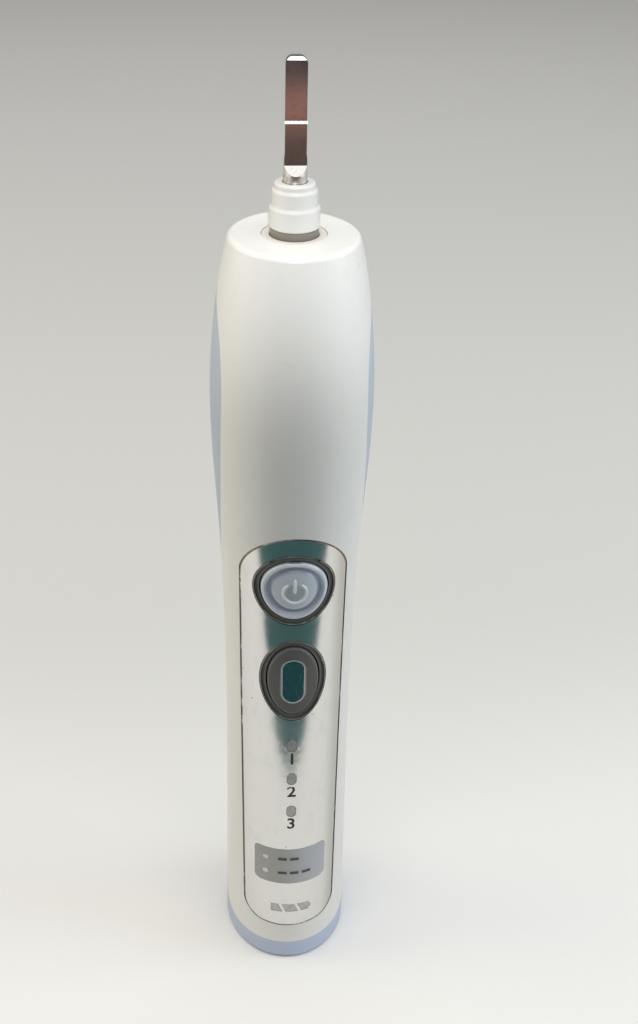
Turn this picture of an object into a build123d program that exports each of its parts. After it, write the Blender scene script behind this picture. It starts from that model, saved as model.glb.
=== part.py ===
from build123d import *
import os
from functools import lru_cache

# Sonic toothbrush handle: white front casing, blue rear grip, drive, battery and charging socket.
# Millimetres. +Z runs up the drive shaft, the face panel looks along -Y, and +X is to the right.
# The origin is where the shaft's axis meets the surface that the handle stands on.

# Casing: the six sections that shape it, from the foot up
WAIST_HEIGHT = 62.0
FLARE_HEIGHT = 96.0
GRIP_HEIGHT = 131.0
SHOULDER_DROP = 13.0  # from the top down to the shoulder section
BODY_TOP = 164.0
BASE_HALF_WIDTH, BASE_FRONT, BASE_REAR = 13.35, 17.0, 13.8
WAIST_HALF_WIDTH, WAIST_FRONT, WAIST_REAR = 13.0, 15.4, 13.9
FLARE_HALF_WIDTH, FLARE_FRONT, FLARE_REAR = 13.7, 15.4, 14.6
GRIP_HALF_WIDTH, GRIP_FRONT, GRIP_REAR = 15.55, 16.1, 15.8
SHOULDER_HALF_WIDTH, SHOULDER_FRONT, SHOULDER_REAR = 14.3, 14.9, 14.8
TOP_HALF_WIDTH, TOP_FRONT, TOP_REAR = 11.9, 13.0, 13.0
SECTION_COUNT = 14  # evenly spaced sections that the surface passes through
TOP_EDGE_RADIUS = 1.0
WALL = 2.0
TOP_WALL = 2.4
SHELL_FOOT = 0.4  # the casing's rim stands this far above the table
FOOT_EDGE_RADIUS = 0.5

# Seam between the white front and the blue rear, seen from the side
BAND_HEIGHT = 4.8  # blue band at the front of the base
BAND_END_Y, BAND_END_RISE = -4.25, 0.7  # where the band starts to climb
SEAM_CORNER_Y, SEAM_CORNER_RISE = 2.5, 4.2  # where the seam turns up the side, above the band
SEAM_LOWER_Y = 5.0  # half way up to the waist
SEAM_FLARE_Y = 4.0  # half way from the waist to the flare
SEAM_GRIP_LOW_Y, SEAM_GRIP_LOW_DROP = -3.6, 25.0  # below the grip section
SEAM_GRIP_Y, SEAM_GRIP_DROP = -7.5, 3.1  # furthest forward, beside the grip section
SEAM_SHOULDER_Y = -3.0  # beside the shoulder section
SEAM_BACK_Y, SEAM_BACK_DROP = 7.9, 6.0  # where it runs level round the back, below the top

# Base: end cap with the charging socket
RIM_WALL = 1.2
CAP_THICKNESS = 3.0
CAP_CLEARANCE = 0.1
SKIRT_HEIGHT = 4.5
SKIRT_THICKNESS = 1.5
SKIRT_CLEARANCE = 0.15
SEAL_HEIGHT = 1.4
SEAL_DEPTH = 0.8
SEAL_CLEARANCE = 0.03
SOCKET_RADIUS = 5.0
SOCKET_DEPTH = 10.5
SOCKET_WALL = 1.2

# Charging coil round the socket
BOBBIN_CLEARANCE = 0.15
BOBBIN_WALL = 0.8
CHARGING_FLANGE_RADIUS = 9.3
CHARGING_COIL_THICKNESS = 1.7
CHARGING_PIN_RADIUS = 0.35
CHARGING_PIN_X = 3.2
CHARGING_PIN_LENGTH = 5.0

# Face panel, seen from the front
PANEL_TOP_MARGIN = 3.45  # from the power button's recess up to the panel's top
PANEL_BOTTOM = 10.1
PANEL_TOP_HALF_WIDTH = 10.2
PANEL_BOTTOM_HALF_WIDTH = 9.5
PANEL_ARCH = 8.8  # rise of the top edge from its corners to its middle
PANEL_SAG = 0.9  # fall of the bottom edge from its corners to its middle
PANEL_CORNER_RADIUS = 4.0
PANEL_THICKNESS = 0.8
TRIM_WIDTH = 0.35
TRIM_SINK = 0.12

# Buttons
POWER_HEIGHT = 97.65
POWER_RECESS_RADIUS = 8.1
POWER_BUTTON_RADIUS = 6.5
POWER_RIM_WIDTH = 0.9
POWER_ISLAND_RADIUS = 4.5
POWER_MOAT_DEPTH = 0.75
POWER_ISLAND_SINK = 0.25
SYMBOL_RADIUS = 2.5
SYMBOL_STROKE = 0.5
SYMBOL_GAP_ANGLE = 70.0
SYMBOL_BAR_LENGTH = 3.3
SYMBOL_RISE = 0.2
SYMBOL_DROP = 0.5  # the ring's centre, below the middle of the button
BUTTON_SPACING = 3.7  # between the two buttons' recesses
MODE_RECESS_HALF_WIDTH, MODE_RECESS_HALF_HEIGHT = 6.75, 9.85
MODE_BUTTON_HALF_WIDTH, MODE_BUTTON_HALF_HEIGHT = 5.15, 8.2
WINDOW_WIDTH, WINDOW_HEIGHT = 4.3, 10.2
WINDOW_THICKNESS = 0.8
WINDOW_SINK = 0.08
WINDOW_BEZEL_WIDTH = 0.2
BUTTON_PROUD = 0.2
BUTTON_EDGE_RADIUS = 0.6
BUTTON_SKIRT = 0.5  # how far a button reaches in past the casing's inner face
BUTTON_TRAVEL = 0.5
EAR_HALF_WIDTH = 2.5
EAR_REACH = 1.0
EAR_CLEARANCE = 0.2
EAR_THICKNESS = 0.8
GASKET_SINK = 0.4
GASKET_CLEARANCE = 0.3

# Indicator windows on the panel
MODE_LENS_WIDTH, MODE_LENS_HEIGHT = 2.0, 3.05
MODE_LENS_DROP = 6.55  # first window's middle, below the mode button's recess
MODE_LENS_PITCH = 8.65
MODE_LENS_COUNT = 3
ROUTINE_LENS_RADIUS = 0.6
ROUTINE_LENS_X = -5.3
ROUTINE_LENS_LIFT = 18.9  # upper window, above the panel's bottom
ROUTINE_LENS_PITCH = 3.9
ROUTINE_LENS_COUNT = 2
GAUGE_LIFT = 4.85  # above the panel's bottom
GAUGE_HALF_WIDTH, GAUGE_HALF_HEIGHT = 4.1, 1.05
GAUGE_NUB_LENGTH, GAUGE_NUB_HALF_HEIGHT = 0.45, 0.45
GAUGE_BAR_COUNT = 3
GAUGE_SLIT_WIDTH = 0.83
GAUGE_SLIT_PITCH = 3.45
GAUGE_SLIT_SLANT = 0.9  # how far a slit's foot is to the right of its top
LENS_CLEARANCE = 0.05
LENS_SINK = 0.05

# Circuit board
BOARD_FRONT_Y = -9.5
BOARD_THICKNESS = 1.0
BOARD_HALF_WIDTH = 7.0
BOARD_LIFT = 0.7  # lower end, above the charging bobbin
BOARD_MARGIN = 8.0  # upper end, above the middle of the power button
LED_SIZE = 1.4
LED_DEPTH = 0.8
CHIP_SIZE = 6.0
CHIP_DEPTH = 0.8
CHIP_PITCH = 11.0
CHIP_LOWEST = 30.0
CHIP_COUNT = 3
SWITCH_SIZE = 6.0
SWITCH_DEPTH = 1.6
PLUNGER_RADIUS = 1.4
PLUNGER_PROUD = 0.9
PLUNGER_REACH = 0.6  # held inside the switch at rest
PLUNGER_CLEARANCE = 0.1
BOSS_RADIUS = 1.9

# Chassis and battery
CHASSIS_CLEARANCE = 0.2
CHASSIS_PLATE = 1.2
CHASSIS_RIB = 1.4
CRADLE_COUNT = 2  # ribs round the battery, between floor and roof
STANDOFF_HEIGHT = 1.1
STANDOFF_RADIUS = 2.2
BATTERY_RADIUS = 7.0
BATTERY_LENGTH = 49.0
BATTERY_Y = 2.4
BATTERY_CLEARANCE = 0.1
TAB_THICKNESS = 0.3
TAB_HALF_WIDTH = 2.2
TAB_REACH = 4.0
TAB_WINDOW_HEIGHT = 2.0
TAB_WINDOW_CLEARANCE = 0.4
SCREW_RADIUS = 0.8
SCREW_HEAD_RADIUS = 1.4
SCREW_HEAD_HEIGHT = 1.0
SCREW_HOLE_CLEARANCE = 0.1
BOARD_SCREW_X = 4.8
BOARD_SCREW_INSET = 6.0  # from the chassis floor and roof

# Drive: stator, rotor, torsion spring and shaft
FRAME_PLATE = 2.2
RAIL_INNER_X = 9.0
RAIL_THICKNESS = 1.6
RAIL_HALF_DEPTH = 4.0
STATOR_DEPTH = 6.4
STATOR_YOKE = 3.4
STATOR_LEG_LENGTH = 22.0
STATOR_CENTRE_LEG = 4.4
STATOR_OUTER_LEG = 3.2
STATOR_WINDOW = 2.8
DRIVE_BOBBIN_CLEARANCE = 0.1
DRIVE_BOBBIN_WALL = 0.7
DRIVE_COIL_THICKNESS = 1.6
DRIVE_FLANGE_REACH = 1.7  # past the bobbin's tube
DRIVE_BOBBIN_INSET = 1.0  # below the tips of the stator's legs
DRIVE_PIN_RADIUS = 0.4
DRIVE_PIN_X = 2.2
AIR_GAP = 0.7
MAGNET_THICKNESS = 2.4
MAGNET_LENGTH = 6.4
ROTOR_LENGTH, ROTOR_DEPTH, ROTOR_THICKNESS = 16.0, 6.6, 2.2
HUB_RADIUS = 4.0
HUB_HEIGHT = 5.7
SPRING_THICKNESS = 1.0
SPRING_WIDTH = 5.0
SPRING_X = 3.5
SPRING_HOLE_CLEARANCE = 0.3
ANCHOR_THICKNESS = 4.0
ANCHOR_HALF_LENGTH = 7.2
ANCHOR_DEPTH = 8.0
ANCHOR_SCREW_X = 5.7
ANCHOR_HOLE_CLEARANCE = 0.4
NOSE_LENGTH = 23.5
NOSE_CLEARANCE = 0.1  # below the casing's top wall
NOSE_RADIUS = 6.0
BUSH_RADIUS = 3.6
BUSH_LENGTH = 5.0
BUSH_CLEARANCE = 0.03
BOARD_REST_THICKNESS = 2.0
BOARD_REST_DEPTH = 1.7
BOARD_REST_DROP = 2.0  # below the board's upper end

# Neck and collar round the shaft
NECK_HOLE_RADIUS = 6.0
NECK_RING_CLEARANCE = 0.1
NECK_RING_SINK = 0.1
COLLAR_RING_RADIUS = 4.4
COLLAR_RING_RISE = 1.3  # above the casing's top
COLLAR_GROOVE = 0.15
COLLAR_CLEARANCE = 0.15
COLLAR_LOWER_RADIUS = 4.6
COLLAR_MIDDLE_RADIUS = 4.12
COLLAR_UPPER_RADIUS = 3.7
COLLAR_LOWER_HEIGHT = 4.1
COLLAR_MIDDLE_HEIGHT = 3.05
COLLAR_UPPER_HEIGHT = 1.0
COLLAR_STEP_SLOPE = 0.45
COLLAR_EDGE_RADIUS = 0.45
SHAFT_SEAL_RADIUS = 3.4
SHAFT_SEAL_HEIGHT = 2.0
SHAFT_SEAL_CLEARANCE = 0.05

# Shaft tip that the brush head pushes on to
SHAFT_RADIUS = 2.15
SHAFT_EXPOSED = 21.35  # above the collar
BLADE_HALF_WIDTH = 1.9
BLADE_START = 4.95  # above the collar
BLADE_SHOULDER = 1.4
FLAT_START = 1.4  # above the collar
FLAT_RAMP = 1.6
FLAT_Y = -0.8
LATCH_START = 10.3  # above the collar
LATCH_RAMP = 0.3
LATCH_Y = -0.35
TIP_CORNER_RADIUS = 1.1
TIP_BEVEL_HEIGHT = 0.47
TIP_BEVEL_DEPTH = 0.7
TIP_CHAMFER = 0.1

# Heights that follow from the sizes above, from the foot up
cap_top = CAP_THICKNESS
socket_top = SOCKET_DEPTH + SOCKET_WALL
bobbin_top = socket_top + BOBBIN_CLEARANCE
chassis_floor = bobbin_top + CHASSIS_RIB
battery_bottom = chassis_floor + TAB_THICKNESS
battery_top = battery_bottom + BATTERY_LENGTH
chassis_roof = battery_top + TAB_THICKNESS
frame_bottom = chassis_roof + CHASSIS_RIB
stator_bottom = frame_bottom + FRAME_PLATE
stator_yoke_top = stator_bottom + STATOR_YOKE
stator_top = stator_yoke_top + STATOR_LEG_LENGTH
magnet_bottom = stator_top + AIR_GAP
rotor_bottom = magnet_bottom + MAGNET_THICKNESS
rotor_top = rotor_bottom + ROTOR_THICKNESS
hub_top = rotor_top + HUB_HEIGHT
nose_top = BODY_TOP - TOP_WALL - NOSE_CLEARANCE
nose_bottom = nose_top - NOSE_LENGTH
anchor_bottom = nose_bottom - ANCHOR_THICKNESS
panel_top = POWER_HEIGHT + POWER_RECESS_RADIUS + PANEL_TOP_MARGIN
mode_height = POWER_HEIGHT - POWER_RECESS_RADIUS - BUTTON_SPACING - MODE_RECESS_HALF_HEIGHT
mode_lens_top = mode_height - MODE_RECESS_HALF_HEIGHT - MODE_LENS_DROP
routine_lens_top = PANEL_BOTTOM + ROUTINE_LENS_LIFT
gauge_height = PANEL_BOTTOM + GAUGE_LIFT
board_bottom = bobbin_top + BOARD_LIFT
board_top = POWER_HEIGHT + BOARD_MARGIN
collar_bottom = BODY_TOP + COLLAR_RING_RISE
collar_top = collar_bottom + COLLAR_LOWER_HEIGHT + COLLAR_MIDDLE_HEIGHT + COLLAR_UPPER_HEIGHT
shaft_top = collar_top + SHAFT_EXPOSED

# Depths that follow, from the panel inwards
board_back_y = BOARD_FRONT_Y + BOARD_THICKNESS
plate_front_y = board_back_y + STANDOFF_HEIGHT
plate_back_y = plate_front_y + CHASSIS_PLATE
switch_front_y = BOARD_FRONT_Y - SWITCH_DEPTH
plunger_front_y = switch_front_y - PLUNGER_PROUD
plunger_back_y = switch_front_y + PLUNGER_REACH

# Reach of cutting blocks, larger than the whole handle
reach = 2 * (GRIP_HALF_WIDTH + GRIP_FRONT)
stator_half_width = STATOR_CENTRE_LEG / 2 + STATOR_WINDOW + STATOR_OUTER_LEG

BOTTOM = (Align.CENTER, Align.CENTER, Align.MIN)


def casing_section(height, half_width, front, rear):
    """Egg-shaped section: half an ellipse to the front and half to the rear."""
    front_half = EllipticalCenterArc((0, 0), half_width, front, 180, arc_size=180)
    rear_half = EllipticalCenterArc((0, 0), half_width, rear, 0, arc_size=180)
    return Pos(0, 0, height) * make_face([front_half, rear_half])


def casing_stations():
    """Height, half width, front depth and rear depth of the sections that shape the casing."""
    return (
        (0, BASE_HALF_WIDTH, BASE_FRONT, BASE_REAR),
        (WAIST_HEIGHT, WAIST_HALF_WIDTH, WAIST_FRONT, WAIST_REAR),
        (FLARE_HEIGHT, FLARE_HALF_WIDTH, FLARE_FRONT, FLARE_REAR),
        (GRIP_HEIGHT, GRIP_HALF_WIDTH, GRIP_FRONT, GRIP_REAR),
        (BODY_TOP - SHOULDER_DROP, SHOULDER_HALF_WIDTH, SHOULDER_FRONT, SHOULDER_REAR),
        (BODY_TOP, TOP_HALF_WIDTH, TOP_FRONT, TOP_REAR),
    )


def casing_sizes(height):
    """Half width, front depth and rear depth at a height, on smooth curves through the stations."""
    stations = casing_stations()
    last = len(stations) - 1
    low = max(i for i in range(last) if stations[i][0] <= height)

    def slope(i, column):
        before, after = stations[max(i - 1, 0)], stations[min(i + 1, last)]
        return (after[column] - before[column]) / (after[0] - before[0])

    span = stations[low + 1][0] - stations[low][0]
    t = (height - stations[low][0]) / span
    return [
        stations[low][column] * (1 + 2 * t) * (1 - t) ** 2
        + stations[low + 1][column] * t ** 2 * (3 - 2 * t)
        + span * slope(low, column) * t * (1 - t) ** 2
        - span * slope(low + 1, column) * t ** 2 * (1 - t)
        for column in (1, 2, 3)
    ]


@lru_cache(maxsize=None)
def casing(inset):
    """Solid inside the casing's outer surface, drawn in by the inset all round."""
    heights = [BODY_TOP * i / (SECTION_COUNT - 1) for i in range(SECTION_COUNT)]
    return loft([
        casing_section(height, *(size - inset for size in casing_sizes(height))) for height in heights
    ])


def block(x_low, x_high, y_low, y_high, z_low, z_high):
    """Box between two corners."""
    corner = Box(x_high - x_low, y_high - y_low, z_high - z_low, align=(Align.MIN,) * 3)
    return Pos(x_low, y_low, z_low) * corner


def slice_between(low, high):
    """Block that takes in everything between two heights."""
    return block(-reach, reach, -reach, reach, low, high)


def disc(radius, low, high, x=0, y=0):
    """Upright cylinder between two heights."""
    return Pos(x, y, low) * Cylinder(radius, high - low, align=BOTTOM)


def ring(outer, inner, low, high):
    """Upright tube between two heights."""
    return disc(outer, low, high) - disc(inner, low, high)


def rod(radius, x, height, y_low, y_high):
    """Cylinder along Y between two depths."""
    outline = Plane.XZ * Pos(x, height) * Circle(radius)
    return Pos(0, y_high, 0) * extrude(outline, amount=y_high - y_low)


def face_prism(outline, back_y=0):
    """Prism that runs forward, out through the casing's front, from an outline seen from the front."""
    return Pos(0, back_y, 0) * extrude(Plane.XZ * outline, amount=reach)


def inlay(outline, outer_inset, inner_inset):
    """Curved sheet between two depths below the casing's surface, inside an outline seen from the front."""
    return (face_prism(outline) & casing(outer_inset)) - casing(inner_inset)


def panel_outline(grow=0):
    """Panel seen from the front: arched top, sides that close in downwards and a curved bottom."""
    top_corner = panel_top - PANEL_ARCH
    bottom_corner = PANEL_BOTTOM + PANEL_SAG
    top_half, bottom_half = PANEL_TOP_HALF_WIDTH, PANEL_BOTTOM_HALF_WIDTH
    outline = make_face([
        ThreePointArc((-top_half, top_corner), (0, panel_top), (top_half, top_corner)),
        Line((top_half, top_corner), (bottom_half, bottom_corner)),
        ThreePointArc((bottom_half, bottom_corner), (0, PANEL_BOTTOM), (-bottom_half, bottom_corner)),
        Line((-bottom_half, bottom_corner), (-top_half, top_corner)),
    ])
    outline = fillet(outline.vertices(), PANEL_CORNER_RADIUS)
    return offset(outline, grow) if grow else outline


def power_outline(radius):
    return Pos(0, POWER_HEIGHT) * Circle(radius)


def mode_outline(half_width, half_height):
    return Pos(0, mode_height) * Ellipse(half_width, half_height)


def window_outline(grow=0):
    pill = SlotOverall(WINDOW_HEIGHT + 2 * grow, WINDOW_WIDTH + 2 * grow, rotation=90)
    return Pos(0, mode_height) * pill


def mode_lens_outlines(grow=0):
    pill = SlotOverall(MODE_LENS_HEIGHT + 2 * grow, MODE_LENS_WIDTH + 2 * grow, rotation=90)
    return [Pos(0, mode_lens_top - MODE_LENS_PITCH * i) * pill for i in range(MODE_LENS_COUNT)]


def routine_lens_outlines(grow=0):
    dot = Circle(ROUTINE_LENS_RADIUS + grow)
    heights = [routine_lens_top - ROUTINE_LENS_PITCH * i for i in range(ROUTINE_LENS_COUNT)]
    return [Pos(ROUTINE_LENS_X, height) * dot for height in heights]


def gauge_slit(middle_x):
    """Slanted cut across the battery gauge."""
    half_slit, half_height, half_slant = GAUGE_SLIT_WIDTH / 2, GAUGE_HALF_HEIGHT, GAUGE_SLIT_SLANT / 2
    return Pos(middle_x, 0) * make_face(Polyline(
        (half_slant - half_slit, -half_height),
        (half_slant + half_slit, -half_height),
        (half_slit - half_slant, half_height),
        (-half_slit - half_slant, half_height),
        close=True,
    ))


def gauge_outlines(grow=0):
    """Battery outline with a nub at its right end, cut into bars by slanted slits."""
    body = Rectangle(2 * GAUGE_HALF_WIDTH, 2 * GAUGE_HALF_HEIGHT)
    nub = Pos(GAUGE_HALF_WIDTH, 0) * Rectangle(2 * GAUGE_NUB_LENGTH, 2 * GAUGE_NUB_HALF_HEIGHT)
    first_slit_x = -GAUGE_SLIT_PITCH * (GAUGE_BAR_COUNT - 2) / 2
    slits = [gauge_slit(first_slit_x + GAUGE_SLIT_PITCH * i) for i in range(GAUGE_BAR_COUNT - 1)]
    bars = (Pos(0, gauge_height) * (body + nub - slits)).faces()
    return [offset(bar, grow, kind=Kind.INTERSECTION) if grow else bar for bar in bars]


LENS_GROUPS = {
    "mode_lenses": mode_lens_outlines,
    "routine_lenses": routine_lens_outlines,
    "battery_lenses": gauge_outlines,
}


def lens_prisms(outlines):
    """One prism for each window, from the lamps on the circuit board out through the panel."""
    return [face_prism(outline, BOARD_FRONT_Y - LED_DEPTH) for outline in outlines]


def lens_group(name):
    prisms = lens_prisms(LENS_GROUPS[name]())
    return Compound(children=[Part(prism & casing(LENS_SINK)) for prism in prisms])


def lens_holes():
    return [hole for outlines in LENS_GROUPS.values() for hole in lens_prisms(outlines(LENS_CLEARANCE))]


def button_openings():
    return [
        face_prism(power_outline(POWER_RECESS_RADIUS)),
        face_prism(mode_outline(MODE_RECESS_HALF_WIDTH, MODE_RECESS_HALF_HEIGHT)),
    ]


def rear_zone():
    """Everything behind and below the seam between the white front and the blue rear."""
    back_height = BODY_TOP - SEAM_BACK_DROP
    seam = Spline(
        (-reach, BAND_HEIGHT),
        (-BASE_FRONT, BAND_HEIGHT),
        (BAND_END_Y, BAND_HEIGHT + BAND_END_RISE),
        (SEAM_CORNER_Y, BAND_HEIGHT + SEAM_CORNER_RISE),
        (SEAM_LOWER_Y, WAIST_HEIGHT / 2),
        (SEAM_FLARE_Y, (WAIST_HEIGHT + FLARE_HEIGHT) / 2),
        (SEAM_GRIP_LOW_Y, GRIP_HEIGHT - SEAM_GRIP_LOW_DROP),
        (SEAM_GRIP_Y, GRIP_HEIGHT - SEAM_GRIP_DROP),
        (SEAM_SHOULDER_Y, BODY_TOP - SHOULDER_DROP),
        (SEAM_BACK_Y, back_height),
        (reach, back_height),
        tangents=((1, 0), (1, 0)),
    )
    border = Polyline((reach, back_height), (reach, -reach), (-reach, -reach), (-reach, BAND_HEIGHT))
    return extrude(Plane.YZ * make_face([seam, border]), amount=reach, both=True)


@lru_cache(maxsize=None)
def whole_shell():
    """Hollow casing before it is split along the seam."""
    blank = casing(0) & slice_between(SHELL_FOOT, BODY_TOP)
    blank = fillet(blank.faces().sort_by(Axis.Z)[-1].edges(), TOP_EDGE_RADIUS)
    blank = fillet(blank.faces().sort_by(Axis.Z)[0].edges(), FOOT_EDGE_RADIUS)
    cavity = casing(WALL) & slice_between(cap_top, BODY_TOP - TOP_WALL)
    cap_seat = casing(RIM_WALL) & slice_between(0, cap_top)
    neck_hole = disc(NECK_HOLE_RADIUS, BODY_TOP - TOP_WALL, BODY_TOP)
    return blank - [cavity, cap_seat, neck_hole]


def front_shell():
    panel_pocket = face_prism(panel_outline(TRIM_WIDTH)) - casing(PANEL_THICKNESS)
    return whole_shell() - [rear_zone(), panel_pocket] - button_openings() - lens_holes()


def rear_shell():
    return whole_shell() & rear_zone()


def end_cap():
    """Plug that closes the base and holds the blind charging socket."""
    plate = casing(RIM_WALL + CAP_CLEARANCE) & slice_between(0, cap_top)
    skirt_inset = WALL + SKIRT_CLEARANCE
    skirt = casing(skirt_inset) - casing(skirt_inset + SKIRT_THICKNESS)
    skirt = skirt & slice_between(0, cap_top + SKIRT_HEIGHT)
    seal_low = cap_top + (SKIRT_HEIGHT - SEAL_HEIGHT) / 2
    groove = (casing(0) - casing(skirt_inset + SEAL_DEPTH)) & slice_between(seal_low, seal_low + SEAL_HEIGHT)
    tube = disc(SOCKET_RADIUS + SOCKET_WALL, 0, socket_top)
    return plate + skirt + tube - [groove, disc(SOCKET_RADIUS, 0, SOCKET_DEPTH)]


def end_cap_seal():
    seal_low = cap_top + (SKIRT_HEIGHT - SEAL_HEIGHT) / 2
    seal = casing(WALL + SEAL_CLEARANCE) - casing(WALL + SKIRT_CLEARANCE + SEAL_DEPTH)
    return seal & slice_between(seal_low, seal_low + SEAL_HEIGHT)


def charging_bobbin():
    inner = SOCKET_RADIUS + SOCKET_WALL + BOBBIN_CLEARANCE
    tube = ring(inner + BOBBIN_WALL, inner, cap_top, bobbin_top)
    lower_flange = ring(CHARGING_FLANGE_RADIUS, inner, cap_top, cap_top + BOBBIN_WALL)
    upper_flange = ring(CHARGING_FLANGE_RADIUS, inner, bobbin_top - BOBBIN_WALL, bobbin_top)
    return tube + lower_flange + upper_flange


def charging_coil():
    inner = SOCKET_RADIUS + SOCKET_WALL + BOBBIN_CLEARANCE + BOBBIN_WALL
    return ring(inner + CHARGING_COIL_THICKNESS, inner, cap_top + BOBBIN_WALL, bobbin_top - BOBBIN_WALL)


def charging_pins():
    """Two upright pins from the charging bobbin to the back of the circuit board."""
    pin_y = board_back_y + CHARGING_PIN_RADIUS
    return Compound(children=[
        disc(CHARGING_PIN_RADIUS, bobbin_top, bobbin_top + CHARGING_PIN_LENGTH, side * CHARGING_PIN_X, pin_y)
        for side in (-1, 1)
    ])


def face_panel():
    return inlay(panel_outline(), 0, PANEL_THICKNESS) - button_openings() - lens_holes()


def panel_trim():
    return inlay(panel_outline(TRIM_WIDTH), TRIM_SINK, PANEL_THICKNESS) - face_prism(panel_outline())


def button_blank(outline):
    """Button with its front following the casing's curve, standing proud, with a rounded front edge."""
    blank = inlay(outline, -BUTTON_PROUD, WALL + BUTTON_SKIRT)
    front = blank.faces().sort_by(Axis.Y)[0]
    return fillet(front.edges(), BUTTON_EDGE_RADIUS)


def button_back(height, half_height):
    """Ears that keep a button in, behind the casing wall, and the boss that meets the switch plunger."""
    ear_half_height = half_height + EAR_REACH
    ear_outline = Pos(0, height) * Rectangle(2 * EAR_HALF_WIDTH, 2 * ear_half_height)
    ear_inset = WALL + EAR_CLEARANCE
    ears = inlay(ear_outline, ear_inset, ear_inset + EAR_THICKNESS)
    boss = face_prism(Pos(0, height) * Circle(BOSS_RADIUS), plunger_front_y) & casing(WALL)
    return ears + boss


def standby_symbol():
    """Broken ring with an upright bar in its gap, seen from the front."""
    wedge_half = SYMBOL_GAP_ANGLE / 2
    gap = make_face(Polyline(
        (0, 0),
        Vector(0, 2 * SYMBOL_RADIUS).rotate(Axis.Z, wedge_half),
        Vector(0, 2 * SYMBOL_RADIUS).rotate(Axis.Z, -wedge_half),
        close=True,
    ))
    broken_ring = Circle(SYMBOL_RADIUS) - Circle(SYMBOL_RADIUS - SYMBOL_STROKE) - gap
    bar = Pos(0, SYMBOL_BAR_LENGTH / 2) * Rectangle(SYMBOL_STROKE, SYMBOL_BAR_LENGTH)
    return Pos(0, POWER_HEIGHT - SYMBOL_DROP) * (broken_ring + bar)


def power_button():
    """Round button: raised rim, sunken moat, and an island with an embossed standby symbol."""
    moat_outline = power_outline(POWER_BUTTON_RADIUS - POWER_RIM_WIDTH)
    island_outline = power_outline(POWER_ISLAND_RADIUS)
    moat_inset = POWER_MOAT_DEPTH - BUTTON_PROUD
    island_inset = POWER_ISLAND_SINK - BUTTON_PROUD
    moat = face_prism(moat_outline - island_outline) - casing(moat_inset)
    island_cut = face_prism(island_outline) - casing(island_inset)
    symbol = inlay(standby_symbol(), island_inset - SYMBOL_RISE, island_inset + SYMBOL_RISE)
    body = button_blank(power_outline(POWER_BUTTON_RADIUS)) - [moat, island_cut]
    return body + symbol + button_back(POWER_HEIGHT, POWER_RECESS_RADIUS)


def mode_button():
    """Oval button with a pocket for its mirror window."""
    body = button_blank(mode_outline(MODE_BUTTON_HALF_WIDTH, MODE_BUTTON_HALF_HEIGHT))
    pocket = face_prism(window_outline(WINDOW_BEZEL_WIDTH)) - casing(WINDOW_THICKNESS - BUTTON_PROUD)
    return body - pocket + button_back(mode_height, MODE_RECESS_HALF_HEIGHT)


def mode_window():
    return inlay(window_outline(), WINDOW_SINK - BUTTON_PROUD, WINDOW_THICKNESS - BUTTON_PROUD)


def mode_window_bezel():
    outline = window_outline(WINDOW_BEZEL_WIDTH) - window_outline()
    return inlay(outline, -BUTTON_PROUD, WINDOW_THICKNESS - BUTTON_PROUD)


def power_button_gasket():
    outline = power_outline(POWER_RECESS_RADIUS) - power_outline(POWER_BUTTON_RADIUS + GASKET_CLEARANCE)
    return inlay(outline, GASKET_SINK, WALL)


def mode_button_gasket():
    outer = mode_outline(MODE_RECESS_HALF_WIDTH, MODE_RECESS_HALF_HEIGHT)
    inner = mode_outline(MODE_BUTTON_HALF_WIDTH + GASKET_CLEARANCE, MODE_BUTTON_HALF_HEIGHT + GASKET_CLEARANCE)
    return inlay(outer - inner, GASKET_SINK, WALL)


def switch_body(height):
    half = SWITCH_SIZE / 2
    body = block(-half, half, switch_front_y, BOARD_FRONT_Y, height - half, height + half)
    hole_back_y = plunger_back_y + BUTTON_TRAVEL + PLUNGER_CLEARANCE
    return body - rod(PLUNGER_RADIUS + PLUNGER_CLEARANCE, 0, height, switch_front_y, hole_back_y)


def switch_plunger(height):
    return rod(PLUNGER_RADIUS, 0, height, plunger_front_y, plunger_back_y)


def board_screw_places():
    return [
        (BOARD_SCREW_X, chassis_floor + BOARD_SCREW_INSET),
        (BOARD_SCREW_X, chassis_roof - BOARD_SCREW_INSET),
    ]


def circuit_board():
    board = block(-BOARD_HALF_WIDTH, BOARD_HALF_WIDTH, BOARD_FRONT_Y, board_back_y, board_bottom, board_top)
    holes = [
        rod(SCREW_RADIUS + SCREW_HOLE_CLEARANCE, x, z, BOARD_FRONT_Y, board_back_y)
        for x, z in board_screw_places()
    ]
    return board - holes


def board_screws():
    return Compound(children=[
        rod(SCREW_HEAD_RADIUS, x, z, BOARD_FRONT_Y - SCREW_HEAD_HEIGHT, BOARD_FRONT_Y)
        + rod(SCREW_RADIUS, x, z, BOARD_FRONT_Y, plate_back_y)
        for x, z in board_screw_places()
    ])


def indicator_leds():
    """One lamp on the circuit board behind the middle of each window."""
    half = LED_SIZE / 2
    middles = [outline.center() for outlines in LENS_GROUPS.values() for outline in outlines()]
    return Compound(children=[
        block(m.X - half, m.X + half, BOARD_FRONT_Y - LED_DEPTH, BOARD_FRONT_Y, m.Y - half, m.Y + half)
        for m in middles
    ])


def control_chips():
    """Chips on the back of the circuit board, facing the chassis plate."""
    half = CHIP_SIZE / 2
    heights = [CHIP_LOWEST + CHIP_PITCH * i for i in range(CHIP_COUNT)]
    return Compound(children=[
        block(-half, half, board_back_y, board_back_y + CHIP_DEPTH, z - half, z + half) for z in heights
    ])


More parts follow.
